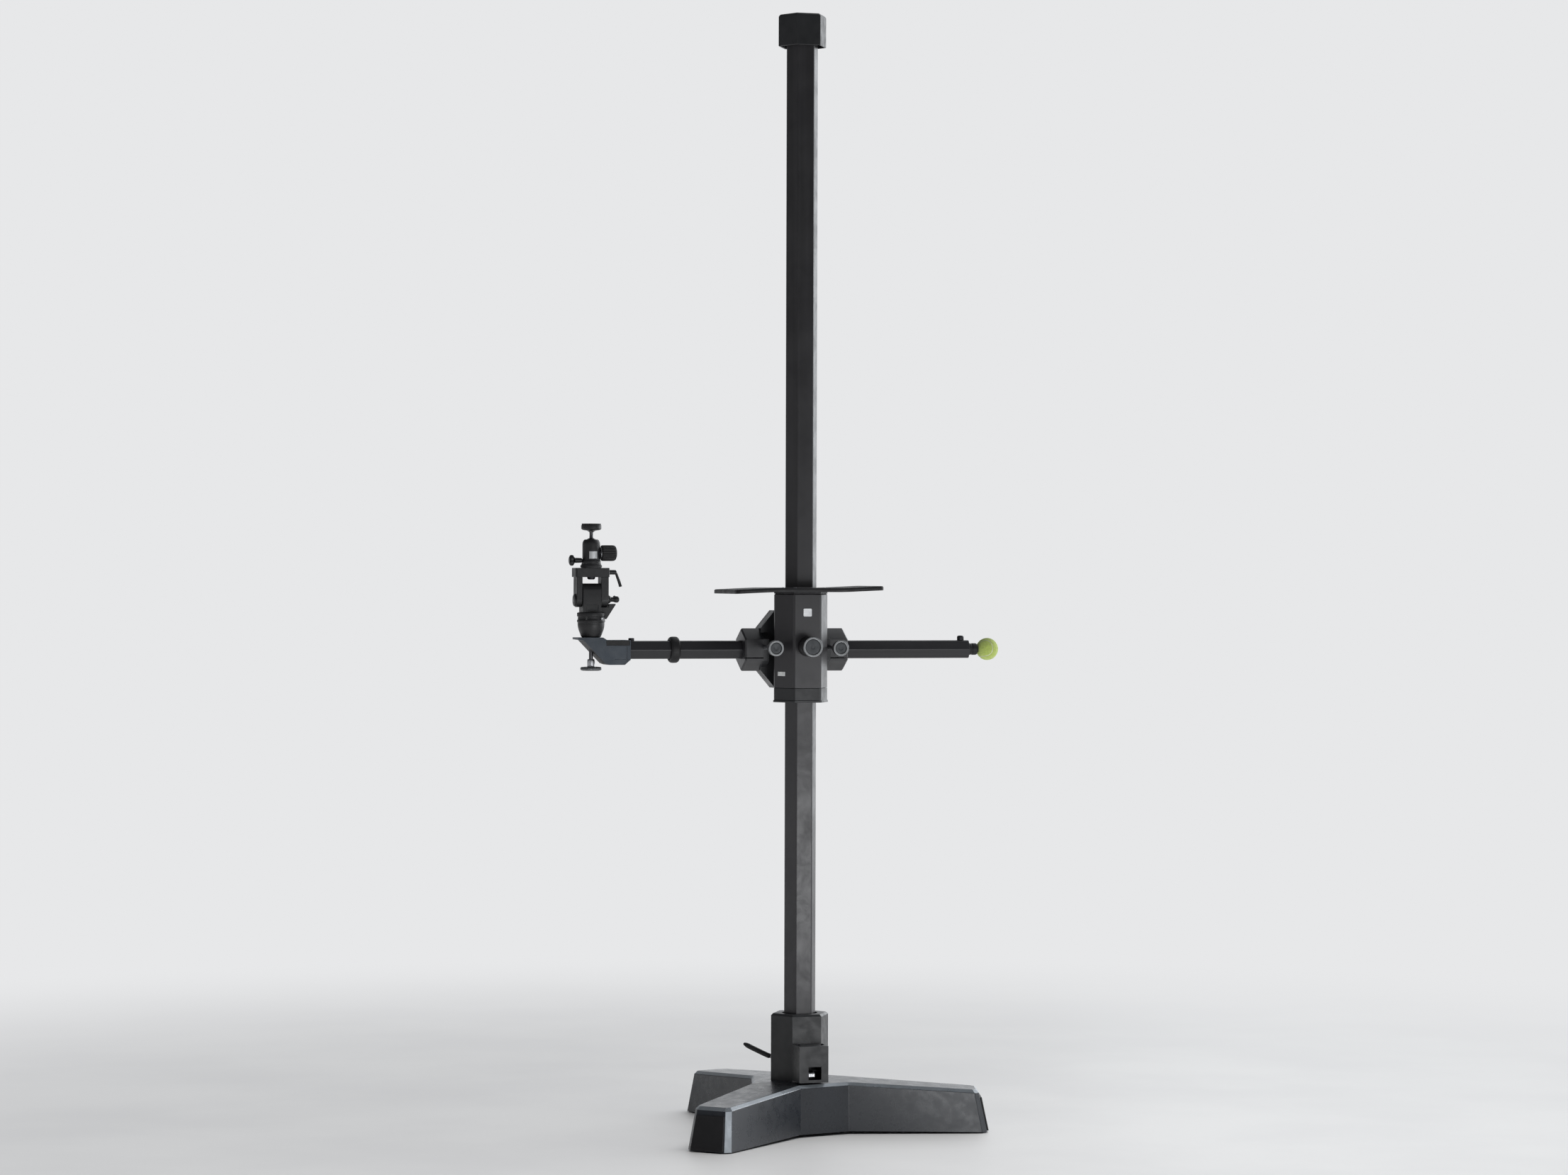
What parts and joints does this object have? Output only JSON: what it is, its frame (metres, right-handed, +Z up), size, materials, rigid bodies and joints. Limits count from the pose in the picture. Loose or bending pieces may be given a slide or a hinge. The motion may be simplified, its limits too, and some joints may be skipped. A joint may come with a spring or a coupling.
{
  "type": "studio camera stand",
  "caption": "Tall hexagonal column on a low castor base, with a counterweighted carriage, sliding cross arm, tilt head and camera platform.",
  "frame": {"origin": "point on the floor under the axis of the column", "axes": "+Z up along the column; +X along the cross arm towards its free end with the ball; +Y from the knob side towards the cross arm"},
  "size_m": [1.2974, 0.9627, 3.22],
  "materials": {
    "base_paint": "dark blue-grey stove enamel with worn bright edges",
    "collar_black": "satin black powder coat",
    "column_black": "black anodised, fine extrusion lines",
    "arm_black": "black anodised",
    "tray_black": "satin black powder coat",
    "elbow_grey": "dark blue-grey enamel",
    "head_black": "black wrinkle and satin coat",
    "knob_grey": "turned grey metal with finger scallops",
    "knob_insert": "matt dark grey",
    "plastic_black": "matt black moulded plastic",
    "steel": "machined steel",
    "bright_steel": "bright plated steel",
    "dark_screw": "blackened steel",
    "zinc": "zinc plated pressed steel",
    "tyre_black": "dark moulded wheel",
    "rubber_black": "black rubber",
    "felt": "yellow-green woven felt with a pale seam",
    "bronze": "turned bronze",
    "liner": "white low-friction plastic",
    "brake_lining": "brown friction lining",
    "weight_iron": "plain cast iron",
    "pulley_alu": "turned aluminium",
    "cable_steel": "stranded steel cable"
  },
  "bodies": {
    "base": {"base_shell": "base_paint", "leg_end_plates": "base_paint", "floor_pads": "rubber_black", "castor_mounts": "zinc", "base_collar": "collar_black", "thrust_bearing": "steel", "spindle": "steel", "pedal_housing": "collar_black"},
    "lift_pedal": {"lift_pedal": "bright_steel"},
    "foot_lever": {"foot_lever": "plastic_black"},
    "column": {"column_tube": "column_black", "column_bushes": "bronze", "top_cap": "collar_black", "pulley_bracket": "zinc", "cable_wrap": "cable_steel"},
    "pulley": {"cable_pulley": "pulley_alu"},
    "counterweight": {"counterweight": "weight_iron", "cable_inner": "cable_steel"},
    "carriage": {"carriage_shell": "column_black", "carriage_skirt": "collar_black", "glide_liners": "liner", "brake_shoe": "brake_lining", "cable_rear": "cable_steel", "cross_block": "collar_black", "carriage_bolts": "steel", "arm_collar_left": "arm_black", "arm_collar_right": "arm_black", "tray": "tray_black", "tray_plate": "tray_black"},
    "brake_knob": {"brake_knob": "knob_grey", "brake_knob_insert": "knob_insert"},
    "clamp_left": {"clamp_left_knob": "knob_grey", "clamp_left_insert": "knob_insert"},
    "clamp_right": {"clamp_right_knob": "knob_grey", "clamp_right_insert": "knob_insert"},
    "arm": {"arm_tube": "arm_black", "stop_ring": "rubber_black", "end_plug": "rubber_black", "end_ball": "felt", "arm_screws": "dark_screw", "elbow_block": "elbow_grey"},
    "elbow_knob": {"elbow_knob": "knob_grey"},
    "pan_head": {"pan_body": "head_black", "tilt_shaft": "steel", "pan_screw": "bright_steel"},
    "stub_lever": {"stub_lever": "plastic_black"},
    "yoke": {"tilt_yoke": "head_black", "ballhead_base": "head_black"},
    "ratchet": {"ratchet_handle": "plastic_black"},
    "ball_housing": {"ballhead_housing": "head_black"},
    "lock_knob": {"lock_knob": "plastic_black"},
    "pan_knob": {"pan_knob": "plastic_black"},
    "ball": {"ball_stem": "bright_steel"},
    "platform": {"camera_platform": "head_black"},
    "castor_fork_1": {"castor_fork_1": "zinc"},
    "castor_wheel_1": {"castor_wheel_1": "tyre_black"},
    "castor_fork_2": {"castor_fork_2": "zinc"},
    "castor_wheel_2": {"castor_wheel_2": "tyre_black"},
    "castor_fork_3": {"castor_fork_3": "zinc"},
    "castor_wheel_3": {"castor_wheel_3": "tyre_black"}
  },
  "joints": [
    {"name": "column_turn", "type": "hinge", "parent": "base", "child": "column", "pos_m": [0, 0, 0.17], "axis": [0, 0, 1], "continuous": true},
    {"name": "carriage_slide", "type": "slide", "parent": "column", "child": "carriage", "axis": [0, 0, 1], "range_m": [-0.88, 1.53], "deforming": ["cable_rear"]},
    {"name": "counterweight_slide", "type": "slide", "parent": "column", "child": "counterweight", "axis": [0, 0, 1], "range_m": [-1.53, 0.88], "deforming": ["cable_inner"]},
    {"name": "pulley_turn", "type": "hinge", "parent": "column", "child": "pulley", "pos_m": [0, 0.025, 3.176], "axis": [1, 0, 0], "continuous": true},
    {"name": "brake_knob_turn", "type": "hinge", "parent": "carriage", "child": "brake_knob", "pos_m": [0, -0.1, 1.399], "axis": [0, 1, 0], "range_deg": [-180, 60]},
    {"name": "clamp_left_turn", "type": "hinge", "parent": "carriage", "child": "clamp_left", "pos_m": [-0.097, -0.06, 1.395], "axis": [0, 1, 0], "range_deg": [-180, 60]},
    {"name": "clamp_right_turn", "type": "hinge", "parent": "carriage", "child": "clamp_right", "pos_m": [0.097, -0.06, 1.395], "axis": [0, 1, 0], "range_deg": [-180, 60]},
    {"name": "arm_slide", "type": "slide", "parent": "carriage", "child": "arm", "axis": [1, 0, 0], "range_m": [-0.35, 0.186]},
    {"name": "elbow_knob_turn", "type": "hinge", "parent": "arm", "child": "elbow_knob", "pos_m": [-0.6, 0.091, 1.334], "axis": [0, 0, 1], "range_deg": [-180, 60]},
    {"name": "head_pan", "type": "hinge", "parent": "arm", "child": "pan_head", "pos_m": [-0.6, 0.091, 1.424], "axis": [0, 0, 1], "continuous": true},
    {"name": "yoke_tilt", "type": "hinge", "parent": "pan_head", "child": "yoke", "pos_m": [-0.6, 0.091, 1.533], "axis": [1, 0, 0], "range_deg": [-65, 75]},
    {"name": "stub_lever_turn", "type": "hinge", "parent": "pan_head", "child": "stub_lever", "pos_m": [-0.54, 0.091, 1.533], "axis": [1, 0, 0], "range_deg": [-60, 60]},
    {"name": "ratchet_turn", "type": "hinge", "parent": "yoke", "child": "ratchet", "pos_m": [-0.54, 0.091, 1.611], "axis": [1, 0, 0], "range_deg": [-70, 70]},
    {"name": "ball_pan", "type": "hinge", "parent": "yoke", "child": "ball_housing", "pos_m": [-0.6, 0.091, 1.64], "axis": [0, 0, 1], "continuous": true},
    {"name": "lock_knob_turn", "type": "hinge", "parent": "ball_housing", "child": "lock_knob", "pos_m": [-0.56, 0.091, 1.666], "axis": [1, 0, 0], "range_deg": [-90, 90]},
    {"name": "pan_knob_turn", "type": "hinge", "parent": "ball_housing", "child": "pan_knob", "pos_m": [-0.65, 0.091, 1.645], "axis": [1, 0, 0], "range_deg": [-90, 90]},
    {"name": "ball_tilt", "type": "hinge", "parent": "ball_housing", "child": "ball", "pos_m": [-0.6, 0.091, 1.69], "axis": [0, 1, 0], "range_deg": [-28, 28]},
    {"name": "platform_turn", "type": "hinge", "parent": "ball", "child": "platform", "pos_m": [-0.6, 0.091, 1.735], "axis": [0, 0, 1], "continuous": true},
    {"name": "foot_lever_turn", "type": "hinge", "parent": "base", "child": "foot_lever", "pos_m": [0, 0, 0.213], "axis": [-0.866, 0.5, 0], "range_deg": [-60, 60]},
    {"name": "pedal_press", "type": "hinge", "parent": "base", "child": "lift_pedal", "pos_m": [0, -0.095, 0.184], "axis": [1, 0, 0], "range_deg": [0, 12]},
    {"name": "castor_swivel_1", "type": "hinge", "parent": "base", "child": "castor_fork_1", "pos_m": [0.42579, -0.11091, 0.08], "axis": [0, 0, 1], "continuous": true},
    {"name": "castor_roll_1", "type": "hinge", "parent": "castor_fork_1", "child": "castor_wheel_1", "pos_m": [0.44266, -0.10464, 0.025], "axis": [-0.3486, 0.9373, 0], "continuous": true},
    {"name": "castor_swivel_2", "type": "hinge", "parent": "base", "child": "castor_fork_2", "pos_m": [-0.30895, -0.31329, 0.08], "axis": [0, 0, 1], "continuous": true},
    {"name": "castor_roll_2", "type": "hinge", "parent": "castor_fork_2", "child": "castor_wheel_2", "pos_m": [-0.30291, -0.29633, 0.025], "axis": [-0.9421, 0.3355, 0], "continuous": true},
    {"name": "castor_swivel_3", "type": "hinge", "parent": "base", "child": "castor_fork_3", "pos_m": [-0.11685, 0.4242, 0.08], "axis": [0, 0, 1], "continuous": true},
    {"name": "castor_roll_3", "type": "hinge", "parent": "castor_fork_3", "child": "castor_wheel_3", "pos_m": [-0.12948, 0.41139, 0.025], "axis": [0.712, -0.7022, 0], "continuous": true}
  ],
  "couplings": [
    {"joint": "counterweight_slide", "follows": "carriage_slide", "ratio": -1},
    {"joint": "pulley_turn", "follows": "carriage_slide", "rad_per_m": 40}
  ]
}
